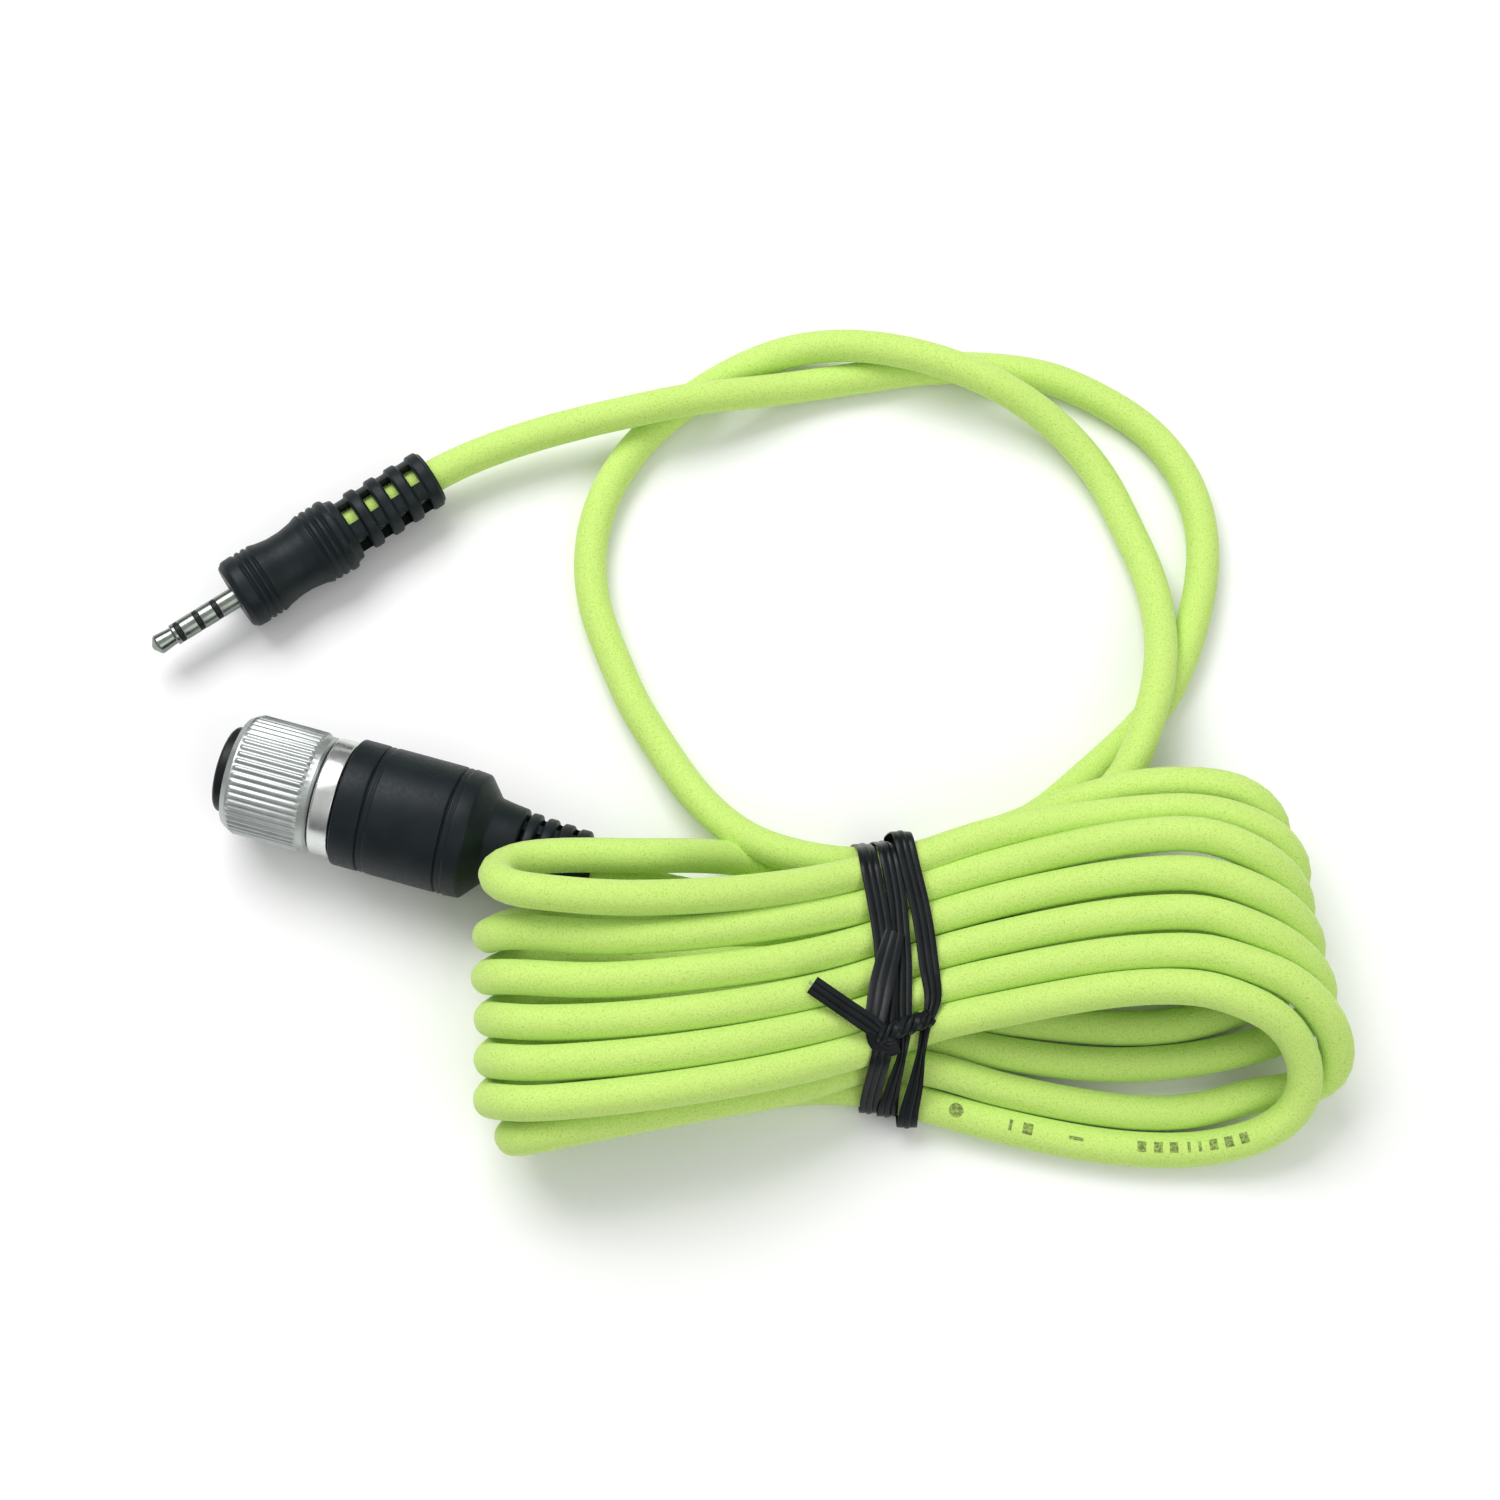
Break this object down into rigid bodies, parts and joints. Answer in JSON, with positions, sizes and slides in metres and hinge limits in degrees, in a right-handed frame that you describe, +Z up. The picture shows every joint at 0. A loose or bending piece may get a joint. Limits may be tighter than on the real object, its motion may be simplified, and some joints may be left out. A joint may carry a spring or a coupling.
{
  "type": "instrument cable",
  "caption": "Soft-jacketed signal lead with a four-pole jack plug and a round screw connector, its cord folded into a hank and held by a twist tie.",
  "frame": {"origin": "on the surface that the lead lies on, below the middle of the box round the two connectors and the twist tie", "axes": "+X along the hank, from the connectors' side towards its open end; +Y towards the far loops; +Z up"},
  "size_m": [0.1847, 0.1385, 0.0297],
  "materials": {
    "cord_green": "matte, finely grained",
    "moulded_black": "satin",
    "insert_black": "satin",
    "insulator_black": "gloss",
    "nickel": "bright nickel plate",
    "gold": "gold flashed",
    "tie_black": "gloss"
  },
  "bodies": {
    "lead": {"plug_tip": "nickel", "plug_ring_1": "nickel", "plug_ring_2": "nickel", "plug_sleeve": "nickel", "plug_insulator_1": "insulator_black", "plug_insulator_2": "insulator_black", "plug_insulator_3": "insulator_black", "plug_overmould": "moulded_black", "contact_insert": "insert_black", "socket_contact_1": "gold", "socket_contact_2": "gold", "socket_contact_3": "gold", "socket_contact_4": "gold", "connector_shell": "nickel", "snap_ring": "nickel", "crimp_ferrule": "nickel", "connector_overmould": "moulded_black", "cord_connector_lead": "cord_green", "cord_top_loop": "cord_green", "cord_hank": "cord_green", "cord_big_loop": "cord_green", "cord_plug_lead": "cord_green", "twist_tie": "tie_black"},
    "coupling_ring": {"coupling_ring": "nickel"}
  },
  "joints": [
    {"name": "coupling_ring_turn", "type": "hinge", "parent": "lead", "child": "coupling_ring", "pos_m": [-0.04082, -0.00211, 0.01], "axis": [0.9622, -0.2723, 0], "continuous": true}
  ]
}
